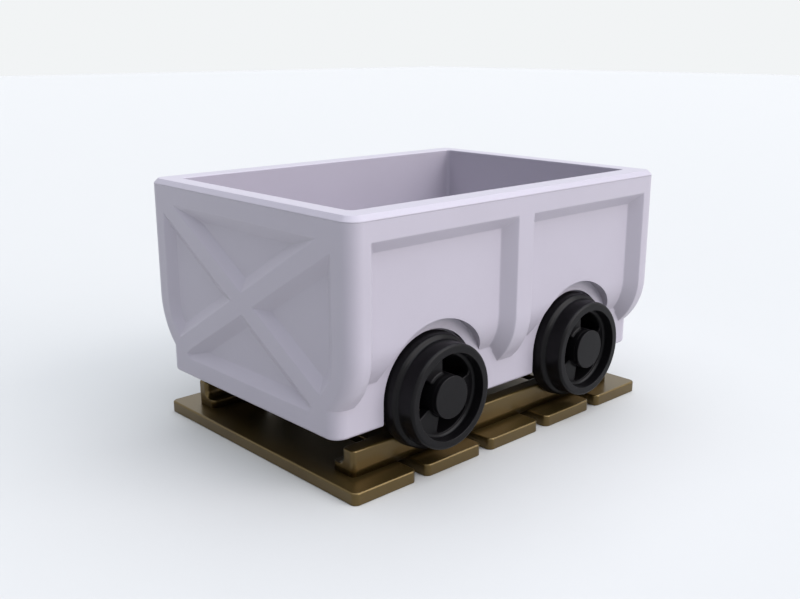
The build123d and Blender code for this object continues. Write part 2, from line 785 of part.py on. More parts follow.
def make_hub_cap(x, side):
    """The plain round cap that closes the hub, with a spigot in the bearing bore."""
    start = hub_end - cap_spigot_length
    inner = bearing_outer_radius - cap_spigot_wall
    cap = turned([
        (start, inner), (hub_end, inner), (hub_end, 0.0), (wheel_face, 0.0),
        (wheel_face, hub_radius - 1.0), (wheel_face - 1.0, hub_radius), (hub_end, hub_radius),
        (hub_end, bearing_outer_radius), (start, bearing_outer_radius),
    ], side)
    return Pos(x, 0, axle_height) * cap


def make_washers():
    """The washers between the bearings and the axle nuts."""
    washers = []
    for x_side, side in wheel_places.values():
        start = outer_bearing_end + end_play
        ring = ring_across(washer_radius, thread_radius + hole_clearance, start,
                           start + washer_thickness, side)
        washers.append(Pos(x_side * wheelbase / 2, 0, axle_height) * ring)
    return Compound(children=washers)


def make_nuts():
    """The nuts on the axles' threaded ends."""
    nuts = []
    start = outer_bearing_end + end_play + washer_thickness
    stop = start + nut_thickness
    for x_side, side in wheel_places.values():
        nut = hexagon_across(nut_flats, side * start, side * stop)
        nut -= across(thread_radius + hole_clearance, side * (start - 1), side * (stop + 1))
        nuts.append(Pos(x_side * wheelbase / 2, 0, axle_height) * nut)
    return Compound(children=nuts)


# ---- build every node -------------------------------------------------------------------
BRONZE = (0.28, 0.21, 0.12)
PALE = (0.86, 0.84, 0.90)
BLACK = (0.06, 0.06, 0.07)
STEEL = (0.55, 0.56, 0.58)
RUBBER = (0.10, 0.10, 0.10)

os.makedirs("parts", exist_ok=True)

for number in range(sleeper_count):
    save(make_sleeper(number), f"sleeper_{number + 1}", BRONZE)
save(make_rail(1), "rail_left", BRONZE)
save(make_rail(-1), "rail_right", BRONZE)
save(make_rail_screws(), "rail_screws", STEEL)

for node, plate in {**tub_plates(), **rim_bars(), **bin_plates()}.items():
    save(plate, node, PALE)
save(make_rivets(), "floor_rivets", STEEL)
for side_name, side in (("left", 1), ("right", -1)):
    save(make_sill(side), f"sill_{side_name}", BLACK)
for end_name, side in (("front", 1), ("rear", -1)):
    save(make_headstock(side), f"headstock_{end_name}", BLACK)
    save(make_axle(side * wheelbase / 2), f"axle_{end_name}", STEEL)
save(make_axle_bolts(), "axle_box_bolts", STEEL)
save(make_washers(), "thrust_washers", STEEL)
save(make_nuts(), "axle_nuts", STEEL)

for place, (x_side, side) in wheel_places.items():
    wheel_x = x_side * wheelbase / 2
    save(make_wheel_well(wheel_x, side), f"wheel_well_{place}", PALE)
    save(make_axle_box(wheel_x, side), f"axle_box_{place}", BLACK)
    save(make_wheel(wheel_x, side), f"wheel_{place}", BLACK)
    save(make_bearings(wheel_x, side), f"bearings_{place}", STEEL)
    save(make_seal(wheel_x, side), f"seal_{place}", RUBBER)
    save(make_hub_cap(wheel_x, side), f"hub_cap_{place}", BLACK)
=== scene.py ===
import math

import bpy
import numpy as np
from mathutils.geometry import delaunay_2d_cdt
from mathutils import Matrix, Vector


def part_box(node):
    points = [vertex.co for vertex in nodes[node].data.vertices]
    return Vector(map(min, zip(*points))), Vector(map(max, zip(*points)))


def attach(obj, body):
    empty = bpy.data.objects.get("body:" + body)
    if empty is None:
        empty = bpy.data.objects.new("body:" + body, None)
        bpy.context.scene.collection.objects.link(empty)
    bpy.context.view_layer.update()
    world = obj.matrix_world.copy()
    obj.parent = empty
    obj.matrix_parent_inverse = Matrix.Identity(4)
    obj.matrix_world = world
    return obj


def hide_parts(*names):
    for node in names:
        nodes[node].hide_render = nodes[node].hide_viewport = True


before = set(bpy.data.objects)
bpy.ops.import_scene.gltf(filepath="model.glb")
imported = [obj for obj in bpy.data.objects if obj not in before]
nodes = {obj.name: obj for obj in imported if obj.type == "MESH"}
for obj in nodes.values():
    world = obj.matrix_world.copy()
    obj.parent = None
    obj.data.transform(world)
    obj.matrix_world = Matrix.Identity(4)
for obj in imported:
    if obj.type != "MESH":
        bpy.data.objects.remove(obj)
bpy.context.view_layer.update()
scene = bpy.context.scene

# ---- the room ---------------------------------------------------------------------------
# A seamless pale studio: a wide matt floor that runs into an even, faintly cool
# backdrop, broad soft light from overhead and a weaker warm one on the near side.

camera = bpy.data.objects.new("camera", bpy.data.cameras.new("camera"))
camera.location = (-1.8322, -1.9280, 1.0275)
camera.rotation_euler = (math.radians(74.91), 0.0, math.radians(-42.92))
camera.data.lens = 42.75
camera.data.sensor_width = 36.0
camera.data.clip_end = 100.0
scene.collection.objects.link(camera)
scene.camera = camera

scene.view_settings.view_transform = "Standard"

world = bpy.data.worlds.new("studio")
world.use_nodes = True
sky = world.node_tree
backdrop = sky.nodes["Background"]
backdrop.inputs["Color"].default_value = (0.887, 0.905, 0.913, 1.0)
backdrop.inputs["Strength"].default_value = 1.0
ambient = sky.nodes.new("ShaderNodeBackground")
ambient.inputs["Color"].default_value = (0.72, 0.84, 1.0, 1.0)
ambient.inputs["Strength"].default_value = 0.15
rays = sky.nodes.new("ShaderNodeLightPath")
choose = sky.nodes.new("ShaderNodeMixShader")
sky.links.new(rays.outputs["Is Diffuse Ray"], choose.inputs[0])
sky.links.new(backdrop.outputs[0], choose.inputs[1])
sky.links.new(ambient.outputs[0], choose.inputs[2])
sky.links.new(choose.outputs[0], sky.nodes["World Output"].inputs["Surface"])
scene.world = world


def sun(name, toward, strength, angle, colour):
    """A soft distant lamp that shines from the direction toward."""
    lamp = bpy.data.lights.new(name, "SUN")
    lamp.energy = strength
    lamp.angle = math.radians(angle)
    lamp.color = colour
    holder = bpy.data.objects.new(name, lamp)
    flat = math.hypot(toward[0], toward[1])
    holder.rotation_euler = (math.atan2(flat, toward[2]), 0.0,
                             math.atan2(toward[1], toward[0]) + math.pi / 2)
    scene.collection.objects.link(holder)


sun("overhead", (0.10, -0.10, 1.0), 3.6, 95.0, (0.95, 0.98, 1.06))
sun("side", (0.38, -0.80, 0.42), 1.75, 50.0, (1.0, 0.95, 0.96))


def grid_faces(rows, columns, close_rows=False, close_columns=False):
    """Quads of a grid whose vertex (i, j) has the number i * columns + j."""
    i = np.arange(rows if close_rows else rows - 1)[:, None]
    j = np.arange(columns if close_columns else columns - 1)[None, :]
    i2, j2 = (i + 1) % rows, (j + 1) % columns
    quads = np.stack([i * columns + j, i * columns + j2,
                      i2 * columns + j2, i2 * columns + j], axis=-1)
    return quads.reshape(-1, 4)


def noise_paint(name, base, dark, rough, grain, bump, coat=0.0, coat_rough=0.1, metal=0.0,
                specular=0.5):
    """A painted or cast surface: two scales of noise vary its colour, gloss and relief.

    base and dark are the two colours that the broad noise moves between; rough is the
    lowest and highest roughness; grain is the fine noise's scale; bump its height.
    """
    material = bpy.data.materials.new(name)
    material.use_nodes = True
    tree = material.node_tree
    shader = tree.nodes["Principled BSDF"]
    shader.inputs["Metallic"].default_value = metal
    shader.inputs["Specular IOR Level"].default_value = specular
    shader.inputs["Coat Weight"].default_value = coat
    shader.inputs["Coat Roughness"].default_value = coat_rough
    place = tree.nodes.new("ShaderNodeTexCoord")
    broad = tree.nodes.new("ShaderNodeTexNoise")
    broad.inputs["Scale"].default_value = 5.0
    broad.inputs["Detail"].default_value = 6.0
    broad.inputs["Roughness"].default_value = 0.62
    fine = tree.nodes.new("ShaderNodeTexNoise")
    fine.inputs["Scale"].default_value = grain
    fine.inputs["Detail"].default_value = 3.0
    ramp = tree.nodes.new("ShaderNodeValToRGB")
    ramp.color_ramp.elements[0].position = 0.3
    ramp.color_ramp.elements[0].color = (*dark, 1.0)
    ramp.color_ramp.elements[1].position = 0.6
    ramp.color_ramp.elements[1].color = (*base, 1.0)
    gloss = tree.nodes.new("ShaderNodeMapRange")
    gloss.inputs["To Min"].default_value = rough[0]
    gloss.inputs["To Max"].default_value = rough[1]
    relief = tree.nodes.new("ShaderNodeBump")
    relief.inputs["Strength"].default_value = 0.25
    relief.inputs["Distance"].default_value = bump
    link = tree.links.new
    link(place.outputs["Object"], broad.inputs["Vector"])
    link(place.outputs["Object"], fine.inputs["Vector"])
    link(broad.outputs["Fac"], ramp.inputs["Fac"])
    link(ramp.outputs["Color"], shader.inputs["Base Color"])
    link(broad.outputs["Fac"], gloss.inputs["Value"])
    link(gloss.outputs["Result"], shader.inputs["Roughness"])
    link(fine.outputs["Fac"], relief.inputs["Height"])
    link(relief.outputs["Normal"], shader.inputs["Normal"])
    return material


def make_piece(name, points, faces, material, corner_normals=None):
    """A mesh object from vertex and face arrays, smooth, with given corner normals if any."""
    mesh = bpy.data.meshes.new(name)
    mesh.from_pydata(points.tolist(), [], [list(face) for face in faces])
    mesh.validate()
    mesh.update()
    mesh.polygons.foreach_set("use_smooth", np.ones(len(mesh.polygons), dtype=bool))
    if corner_normals is not None:
        mesh.normals_split_custom_set(corner_normals.tolist())
    mesh.materials.append(material)
    piece = bpy.data.objects.new(name, mesh)
    scene.collection.objects.link(piece)
    return piece


floor_paint = noise_paint("studio_floor", (0.588, 0.590, 0.574), (0.584, 0.586, 0.570),
                          (0.6, 0.7), 40.0, 0.0001)
floor_points = np.array([(-30, -30, 0), (30, -30, 0), (30, 30, 0), (-30, 30, 0)], dtype=float)
floor = make_piece("studio_floor", floor_points - (0, 0, 0.0004), [(0, 1, 2, 3)], floor_paint)

# ---- sleepers ---------------------------------------------------------------------------
# Five flat cast plates under the rails, bronze lacquered, with rounded corners and a
# softened top edge. The rails are screwed to them from beneath.

track_lacquer = noise_paint("bronze_lacquer", (0.120, 0.082, 0.028), (0.105, 0.070, 0.024),
                            (0.26, 0.34), 1400.0, 0.00003, coat=0.20, coat_rough=0.06,
                            metal=0.75, specular=0.3)


def rounded_rings(stations, steps):
    """Closed horizontal outlines, one per station, as an array (station, point, xyz).

    A station is (low x, high x, low y, high y, corner radius, z). Each corner is a
    quarter circle of steps + 1 points about a centre one radius inside both sides.
    """
    s = np.asarray(stations, dtype=float)
    turn = np.radians(np.linspace(0, 90, steps + 1))
    radius, height = s[:, 4][:, None], s[:, 5][:, None]
    runs = []
    for quarter, (side_x, side_y) in enumerate(((1, 3), (0, 3), (0, 2), (1, 2))):
        sign_x = 1 if side_x == 1 else -1
        sign_y = 1 if side_y == 3 else -1
        angle = turn + quarter * math.pi / 2
        x = s[:, side_x][:, None] - sign_x * radius + radius * np.cos(angle)
        y = s[:, side_y][:, None] - sign_y * radius + radius * np.sin(angle)
        runs.append(np.stack([x, y, np.broadcast_to(height, x.shape)], axis=-1))
    return np.concatenate(runs, axis=1)


def stacked(stations, steps, cap_low=True, cap_high=True):
    """A solid skinned over stacked outlines, closed by one flat face at each end.

    Stations run so that the skin's outside is to the right, going up the outside.
    """
    rings = rounded_rings(stations, steps)
    count, around = rings.shape[:2]
    faces = [tuple(face) for face in grid_faces(count, around, close_columns=True)]
    if cap_low:
        faces.append(tuple(range(around - 1, -1, -1)))
    if cap_high:
        faces.append(tuple((count - 1) * around + np.arange(around)))
    return rings.reshape(-1, 3), faces


def even_shading(piece):
    """Corner normals weighted by face area, so that flat faces stay flat to their edges."""
    weighted = piece.modifiers.new("even_shading", "WEIGHTED_NORMAL")
    weighted.weight = 100
    weighted.keep_sharp = True


def quarter_round(radius, steps, low=0.0, high=90.0):
    """(inset, drop) pairs round a convex edge: inset from the side, drop below the top."""
    turn = np.radians(np.linspace(low, high, steps + 1))
    return radius * (1 - np.cos(turn)), radius * (1 - np.sin(turn))


SLEEPER_EDGE = 0.005
for number in range(1, 6):
    low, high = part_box(f"sleeper_{number}")
    inset, drop = quarter_round(SLEEPER_EDGE, 8)
    stations = [(low[0] + 0.0012, high[0] - 0.0012, low[1] + 0.0012, high[1] - 0.0012,
                 0.0148, low[2]),
                (low[0], high[0], low[1], high[1], 0.016, low[2] + 0.0012)]
    stations += [(low[0] + i, high[0] - i, low[1] + i, high[1] - i, 0.016 - i, high[2] - d)
                 for i, d in zip(inset, drop)]
    plate = make_piece(f"sleeper_plate_{number}", *stacked(stations, 10), track_lacquer)
    even_shading(plate)
    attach(plate, "track")
    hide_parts(f"sleeper_{number}")

# ---- rails ------------------------------------------------------------------------------
# Two cast rails in the same lacquer: a tall head flush with the outer side, whose inner
# side sweeps down to a low lip.

RAIL_HALF = 0.5095
RAIL_OUTER = 0.3425
RAIL_HEAD_INNER = 0.300
RAIL_LIP_INNER = 0.264
RAIL_FOOT = 0.032
RAIL_TOP = 0.0992
LIP_TOP = 0.0548


def rail_stations():
    """Outlines from the sleepers up: lip with round edge, sweep, head."""
    rows = [(RAIL_LIP_INNER, RAIL_OUTER, 0.015, RAIL_FOOT)]
    edge = 0.004
    for turn in np.radians(np.linspace(0, 90, 7)):
        rows.append((RAIL_LIP_INNER + edge * (1 - math.cos(turn)), RAIL_OUTER,
                     0.015 - edge * (1 - math.cos(turn)) * 0.6,
                     LIP_TOP - edge * (1 - math.sin(turn))))
    sweep = 0.020
    for turn in np.radians(np.linspace(4, 90, 14)):
        rows.append((RAIL_HEAD_INNER - sweep * (1 - math.sin(turn)), RAIL_OUTER, 0.013,
                     LIP_TOP + sweep * (1 - math.cos(turn))))
    edge = 0.005
    for turn in np.radians(np.linspace(0, 90, 9)):
        inset = edge * (1 - math.cos(turn))
        rows.append((RAIL_HEAD_INNER + inset, RAIL_OUTER - inset, 0.013 - inset * 0.8,
                     RAIL_TOP - edge * (1 - math.sin(turn))))
    return rows


for name, side in (("left", 1), ("right", -1)):
    stations = []
    for inner, outer, radius, z in rail_stations():
        pull = max(0.0, z - (RAIL_TOP - 0.005))
        end = RAIL_HALF - (0.005 - math.sqrt(max(0.0, 0.005 ** 2 - pull ** 2)))
        ends = sorted((side * inner, side * outer))
        stations.append((-end, end, ends[0], ends[1], radius, z))
    rail = make_piece(f"rail_bar_{name}", *stacked(stations, 8), track_lacquer)
    even_shading(rail)
    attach(rail, "track")
    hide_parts(f"rail_{name}")

# ---- tub walls --------------------------------------------------------------------------
# The outer walls of the tub, pressed and cast in steel and sprayed off-white: panelled
# sides that tuck in over the wheels, X-braced ends and rounded corner posts, all welded
# flush. Wheel arches are cut through the sides.

tub_paint = noise_paint("tub_enamel", (0.450, 0.420, 0.482), (0.440, 0.410, 0.470),
                        (0.36, 0.46), 700.0, 0.00005, coat=0.15, coat_rough=0.25)

HALF_LENGTH = 0.5774
HALF_WIDTH = 0.4253
HALF_SKIRT = 0.3633
POST_RADIUS = 0.038
TUCK_START = 0.358
TUCK_RADIUS = 0.185
TUCK_CENTRE = HALF_WIDTH - TUCK_RADIUS
CREASE = TUCK_START - math.sqrt(TUCK_RADIUS ** 2 - (HALF_SKIRT - TUCK_CENTRE) ** 2)
WALL_TOP = 0.661
WALL_FOOT = 0.146
FOOT_ROUND = 0.009
ARCH_RADIUS = 0.186
WELL_RADIUS = 0.155
AXLE_HEIGHT = 0.2026
WHEEL_X = 0.275
PANEL_DEPTH = 0.033
PANEL_BEVEL = 0.031
BRACE_DEPTH = 0.018
BRACE_BEVEL = 0.031
SOFT = 0.0025


def soft_step(distance, width, soft):
    """0 outside an outline and 1 past its bevel, linear between, with round shoulders.

    Each shoulder is a parabola that reaches soft to both sides of the crease.
    """
    def ramp(t):
        inside = np.clip(t, -soft, soft)
        return np.where(t > soft, t, (inside + soft) ** 2 / (4 * soft))
    return (ramp(distance) - ramp(distance - width)) / width


def soft_min(values, blend):
    """The smaller of several arrays, with the corners between them rounded by blend."""
    result = values[0]
    for other in values[1:]:
        mix = np.clip(0.5 + 0.5 * (other - result) / blend, 0, 1)
        result = other * (1 - mix) + result * mix - blend * mix * (1 - mix)
    return result


def foot_inset(z):
    """How far the wall draws in at its round lower edge."""
    below = np.clip(WALL_FOOT + FOOT_ROUND - z, 0, FOOT_ROUND)
    return FOOT_ROUND - np.sqrt(np.maximum(FOOT_ROUND ** 2 - below ** 2, 0))


def wall_width(z, offset=0.0):
    """Half-width of the tub at height z: upright wall, arc, then the narrow skirt.

    offset moves the arc and wall inwards along their normals.
    """
    drop = np.clip(TUCK_START - z, 0, (TUCK_RADIUS - offset) * 0.9999)
    arc = TUCK_CENTRE + np.sqrt((TUCK_RADIUS - offset) ** 2 - drop ** 2)
    return np.where(z < CREASE, HALF_SKIRT, arc)


def panel_depth(x, z):
    """Depth of the two side panels at (x, z), measured along the wall's normal."""
    x = np.abs(x)
    distance = soft_min([x - 0.029, 0.520 - x, 0.614 - z], 0.004)
    return PANEL_DEPTH * soft_step(distance, PANEL_BEVEL, SOFT)


def side_skin(x, z):
    """Outside of a side wall: half-width with panels that run out into the skirt."""
    return np.maximum(wall_width(z, panel_depth(x, z)), HALF_SKIRT) - foot_inset(z)


def side_back(x, z):
    """Inside of a side wall."""
    drop = np.clip(TUCK_START - z, 0, 0.1439)
    arc = TUCK_CENTRE + np.sqrt(0.144 ** 2 - drop ** 2)
    return np.maximum(arc, 0.3303) + 0 * x


def brace_outlines():
    """The four recesses of an end as (y, z) outlines, anticlockwise."""
    centre, half_height, half_width = 0.405, 0.027, 0.045
    slope = (0.614 - centre - half_height) / 0.306
    foot = 0.198
    reach = (centre - half_height - foot) / slope
    above = [(0, centre + half_height), (0.306, 0.614), (-0.306, 0.614)]
    below = [(0, centre - half_height), (-reach, foot), (reach, foot)]
    side_top = centre + (0.357 - half_width) * slope
    side_foot = centre - (0.309 - half_width) * slope
    beside = [(half_width, centre), (0.309, side_foot), (0.345, 0.292),
              (0.357, 0.335), (0.357, side_top)]
    return [above, below, beside, [(-y, z) for y, z in reversed(beside)]]


def edge_distances(outline, y, z):
    """Distance inside each edge of a convex outline, one array per edge."""
    distances = []
    for (ay, az), (by, bz) in zip(outline, outline[1:] + outline[:1]):
        length = math.hypot(by - ay, bz - az)
        distances.append(((by - ay) * (z - az) - (bz - az) * (y - ay)) / length)
    return distances


def brace_distance(number, y, z):
    """Distance inside recess number; the lowest one also has its corners cut off."""
    outline = brace_outlines()[number]
    distances = edge_distances(outline, y, z)
    if number == 1:
        cut = (0.262 - np.abs(y)) * 0.83 + (z - 0.206) * 0.55
        distances.append(cut + 0.009)
    return soft_min(distances, 0.004)


def end_skin(y, z):
    """Outside of an end wall: half-length at (y, z) with its four recesses."""
    depth = 0 * y
    for number in range(4):
        depth = depth + BRACE_DEPTH * soft_step(brace_distance(number, y, z), BRACE_BEVEL, SOFT)
    return HALF_LENGTH - depth - foot_inset(z)


def end_back(y, z):
    """Inside of an end wall: flat."""
    return HALF_LENGTH - BRACE_DEPTH - 0.008 + 0 * y


def spread(knots, step):
    """Numbers from knot to knot, evenly spaced in each gap and at most step apart."""
    runs = [np.linspace(a, b, max(1, math.ceil((b - a) / step - 1e-6)), endpoint=False)
            for a, b in zip(knots, knots[1:])]
    return np.append(np.concatenate(runs), knots[-1])


def triangulate(points, edges, keep):
    """Delaunay triangles over 2-D points and edges, kept where keep(u, v) is true."""
    result = delaunay_2d_cdt([tuple(p) for p in points], [tuple(e) for e in edges], [], 0,
                             1e-6)
    flat = np.array([tuple(v) for v in result[0]])
    triangles = np.array([tuple(f) for f in result[2]])
    centre = flat[triangles].mean(axis=1)
    triangles = triangles[keep(centre[:, 0], centre[:, 1])]
    a, b, c = (flat[triangles[:, k]] for k in range(3))
    area = (b[:, 0] - a[:, 0]) * (c[:, 1] - a[:, 1]) - (b[:, 1] - a[:, 1]) * (c[:, 0] - a[:, 0])
    triangles[area < 0] = triangles[area < 0][:, ::-1]
    triangles = triangles[np.abs(area) > 1e-12]
    used, inverse = np.unique(triangles, return_inverse=True)
    return flat[used], inverse.reshape(-1, 3)


def slope_normals(height, u, v):
    """Unit normals (along u, along v, outwards) of a height over the (u, v) plane."""
    step = 2e-5
    du = (height(u + step, v) - height(u - step, v)) / (2 * step)
    dv = (height(u, v + step) - height(u, v - step)) / (2 * step)
    normal = np.stack([-du, -dv, np.ones_like(du)], axis=-1)
    return normal / np.linalg.norm(normal, axis=1, keepdims=True)


def wall_slab(flat, triangles, skin, back):
    """A closed slab over a triangulated (u, v) plane, from back(u, v) out to skin(u, v).

    Returns points and normals as (u, v, outwards), the faces, and one normal per corner.
    """
    u, v = flat[:, 0], flat[:, 1]
    count = len(flat)
    points = np.concatenate([np.column_stack([u, v, skin(u, v)]),
                             np.column_stack([u, v, back(u, v)])])
    skin_normals = slope_normals(skin, u, v)
    back_normals = -slope_normals(back, u, v)
    pairs = np.concatenate([triangles[:, [0, 1]], triangles[:, [1, 2]], triangles[:, [2, 0]]])
    key = pairs[:, 0].astype(np.int64) * count + pairs[:, 1]
    other = pairs[:, 1].astype(np.int64) * count + pairs[:, 0]
    border = pairs[~np.isin(key, other)]
    rim = np.column_stack([border[:, 1], border[:, 0], border[:, 0] + count,
                           border[:, 1] + count])
    along = flat[border[:, 1]] - flat[border[:, 0]]
    along /= np.linalg.norm(along, axis=1, keepdims=True)
    rim_normals = np.column_stack([along[:, 1], -along[:, 0], np.zeros(len(along))])
    back_faces = triangles[:, ::-1] + count
    faces = triangles.tolist() + back_faces.tolist() + rim.tolist()
    normals = np.concatenate([
        skin_normals[triangles.ravel()],
        back_normals[triangles[:, ::-1].ravel()],
        np.repeat(rim_normals, 4, axis=0),
    ])
    return points, faces, normals


def placed(points, faces, normals, axes, signs):
    """Moves (u, v, outwards) arrays into x, y, z by axis order and signs.

    Faces turn over where the move mirrors the slab.
    """
    moved = np.empty_like(points)
    turned = np.empty_like(normals)
    for source, (axis, sign) in enumerate(zip(axes, signs)):
        moved[:, axis] = points[:, source] * sign
        turned[:, axis] = normals[:, source] * sign
    parity = np.linalg.det(np.eye(3)[list(axes)]) * np.prod(signs)
    if parity < 0:
        sizes = [len(face) for face in faces]
        starts = np.cumsum([0] + sizes[:-1])
        order = np.concatenate([np.arange(s, s + n)[::-1] for s, n in zip(starts, sizes)])
        turned = turned[order]
        faces = [face[::-1] for face in faces]
    return moved, faces, turned


def bevel_lines(start, way, width):
    """Grid lines through a bevel from start, towards way (+1 or -1)."""
    steps = np.concatenate([np.linspace(-SOFT, SOFT, 5), np.linspace(SOFT, width - SOFT, 11)[1:-1],
                            np.linspace(width - SOFT, width + SOFT, 5)])
    return start + way * steps


def in_arch(x, z, grow=0.0):
    """Whether (x, z) is cut away: a wide half circle, and a narrower gap under the crease."""
    x = np.abs(x) - WHEEL_X
    reach = np.hypot(x, z - AXLE_HEIGHT)
    over = (z >= CREASE) & (reach < ARCH_RADIUS + grow)
    between = (z >= AXLE_HEIGHT) & (z < CREASE) & (reach < WELL_RADIUS + grow)
    under = (z < AXLE_HEIGHT) & (np.abs(x) < WELL_RADIUS + grow)
    return over | between | under


wall_rows = np.unique(np.round(np.concatenate([
    WALL_FOOT + FOOT_ROUND * (1 - np.cos(np.radians(np.linspace(0, 90, 8)))),
    spread([WALL_FOOT + FOOT_ROUND, CREASE - 0.0004], 0.016),
    bevel_lines(CREASE + 0.002, 1, PANEL_BEVEL)[bevel_lines(CREASE + 0.002, 1, PANEL_BEVEL)
                                                > CREASE + 0.0006],
    [CREASE + 0.0004],
    spread([CREASE + 0.002 + PANEL_BEVEL + SOFT, TUCK_START], 0.007),
    spread([TUCK_START, 0.614 - PANEL_BEVEL - SOFT], 0.02),
    bevel_lines(0.614, -1, PANEL_BEVEL),
    spread([0.614 + SOFT, WALL_TOP], 0.02),
]), 6))
POST_X = HALF_LENGTH - POST_RADIUS

half_columns = np.concatenate([
    spread([0.0, 0.029 - SOFT], 0.01), bevel_lines(0.029, 1, PANEL_BEVEL),
    spread([0.060 + SOFT, 0.489 - SOFT], 0.012), bevel_lines(0.520, -1, PANEL_BEVEL),
    spread([0.520 + SOFT, POST_X], 0.01)])
side_columns = np.unique(np.round(np.concatenate([-half_columns, half_columns]), 6))
column_grid, row_grid = np.meshgrid(side_columns, wall_rows)
side_points = np.column_stack([column_grid.ravel(), row_grid.ravel()])
clear = in_arch(side_points[:, 0], side_points[:, 1], 0.0) | ~in_arch(
    side_points[:, 0], side_points[:, 1], 0.0022)
side_points = side_points[clear & ~in_arch(side_points[:, 0], side_points[:, 1], -0.0022)]
arch_start = math.degrees(math.asin((CREASE - AXLE_HEIGHT) / ARCH_RADIUS))
well_start = math.degrees(math.asin((CREASE - AXLE_HEIGHT) / WELL_RADIUS))
arch_turn = np.radians(np.linspace(180 - arch_start, arch_start, 139))
well_turn = np.radians(np.linspace(0, well_start, 6))
leg_rows = wall_rows[wall_rows < AXLE_HEIGHT - 0.002]
well_side = np.concatenate([
    np.column_stack([np.full(len(leg_rows), WELL_RADIUS), leg_rows]),
    np.column_stack([WELL_RADIUS * np.cos(well_turn),
                     AXLE_HEIGHT + WELL_RADIUS * np.sin(well_turn)])])
arch_edges = []
for centre in (-WHEEL_X, WHEEL_X):
    arch = np.concatenate([
        well_side * (-1, 1) + (centre, 0),
        np.column_stack([centre + ARCH_RADIUS * np.cos(arch_turn),
                         AXLE_HEIGHT + ARCH_RADIUS * np.sin(arch_turn)]),
        well_side[::-1] + (centre, 0)])
    first = len(side_points)
    side_points = np.concatenate([side_points, arch])
    arch_edges += [(first + k, first + k + 1) for k in range(len(arch) - 1)]
side_flat, side_triangles = triangulate(
    side_points, arch_edges, lambda x, z: ~in_arch(x, z))

end_points = [np.column_stack([np.repeat(wall_width(wall_rows) - POST_RADIUS, 1) * sign,
                               wall_rows]) for sign in (1, -1)]
end_edges = []
for k in range(2):
    first = k * len(wall_rows)
    end_edges += [(first + i, first + i + 1) for i in range(len(wall_rows) - 1)]
for row in (wall_rows[0], wall_rows[-1]):
    reach = float(wall_width(row)) - POST_RADIUS
    across = spread([-0.31, 0.31], 0.02)
    across = across[np.abs(across) < reach - 0.004]
    end_points.append(np.column_stack([across, np.full(len(across), row)]))
for row in wall_rows[(wall_rows < 0.190) & (wall_rows > wall_rows[0])]:
    across = spread([-0.31, 0.31], 0.02)
    end_points.append(np.column_stack([across, np.full(len(across), row)]))


def inset_outline(outline, distance):
    """A convex outline with every edge moved inwards by distance."""
    corners = np.array(outline)
    step = np.roll(corners, -1, axis=0) - corners
    step /= np.linalg.norm(step, axis=1, keepdims=True)
    start = corners + distance * np.column_stack([-step[:, 1], step[:, 0]])
    back_start, back_step = np.roll(start, 1, axis=0), np.roll(step, 1, axis=0)
    cross = back_step[:, 0] * step[:, 1] - back_step[:, 1] * step[:, 0]
    gap = start - back_start
    along = (gap[:, 0] * step[:, 1] - gap[:, 1] * step[:, 0]) / cross
    return back_start + back_step * along[:, None]


total = sum(len(run) for run in end_points)
bevel_steps = bevel_lines(0.0, 1, BRACE_BEVEL)
for number, outline in enumerate(brace_outlines()):
    for level in bevel_steps:
        ring_start = total
        corners = inset_outline(outline, level)
        following = np.roll(corners, -1, axis=0)
        for a, b in zip(corners, following):
            length = float(np.linalg.norm(b - a))
            near = [0.0, 0.0025, 0.006, 0.012, 0.022]
            cuts = [d for d in near if d < length * 0.45]
            middle = spread([cuts[-1], length - cuts[-1]], 0.03)[1:-1]
            along = np.array(cuts + list(middle) + [length - d for d in reversed(cuts[1:])])
            run = a + (b - a) * (along / length)[:, None]
            end_points.append(run[:-1])
            total += len(run) - 1
        count = total - ring_start
        end_edges += [(ring_start + k, ring_start + (k + 1) % count) for k in range(count)]
end_points = np.concatenate(end_points)
end_flat, end_triangles = triangulate(
    end_points, end_edges,
    lambda y, z: np.abs(y) < np.interp(z, wall_rows, wall_width(wall_rows) - POST_RADIUS))

for name, side in (("left", 1), ("right", -1)):
    wall = wall_slab(side_flat, side_triangles, side_skin, side_back)
    wall = placed(*wall, (0, 2, 1), (1, 1, side))
    piece = make_piece(f"side_wall_{name}", wall[0], wall[1], tub_paint, wall[2])
    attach(piece, "cart")
    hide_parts(f"tub_side_{name}")
for name, side in (("front", 1), ("rear", -1)):
    wall = wall_slab(end_flat, end_triangles, end_skin, end_back)
    wall = placed(*wall, (1, 2, 0), (1, 1, side))
    piece = make_piece(f"end_wall_{name}", wall[0], wall[1], tub_paint, wall[2])
    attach(piece, "cart")
    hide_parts(f"tub_end_{name}")


sweep = np.linspace(0, 1, 97)[:, None]
crescent_turn = [np.radians(start + (180 - 2 * start) * sweep)
                 for start in (well_start, arch_start)]
crescent_flat = np.concatenate([
    radius * np.column_stack([np.cos(turn), np.sin(turn)]) + (0, AXLE_HEIGHT)
    for radius, turn in zip((WELL_RADIUS, ARCH_RADIUS), crescent_turn)])
steps_round = np.arange(96)
crescent_triangles = np.concatenate([
    np.column_stack([steps_round, steps_round + 97, steps_round + 98]),
    np.column_stack([steps_round, steps_round + 98, steps_round + 1])])
for end_name, end in (("front", 1), ("rear", -1)):
    for name, side in (("left", 1), ("right", -1)):
        crescent = wall_slab(crescent_flat + (end * WHEEL_X, 0), crescent_triangles,
                             lambda x, z: HALF_SKIRT + 0 * x, lambda x, z: 0.3553 + 0 * x)
        crescent = placed(*crescent, (0, 2, 1), (1, 1, side))
        piece = make_piece(f"arch_back_{end_name}_{name}", crescent[0], crescent[1], tub_paint,
                           crescent[2])
        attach(piece, "cart")
        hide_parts(f"tub_side_{name}")


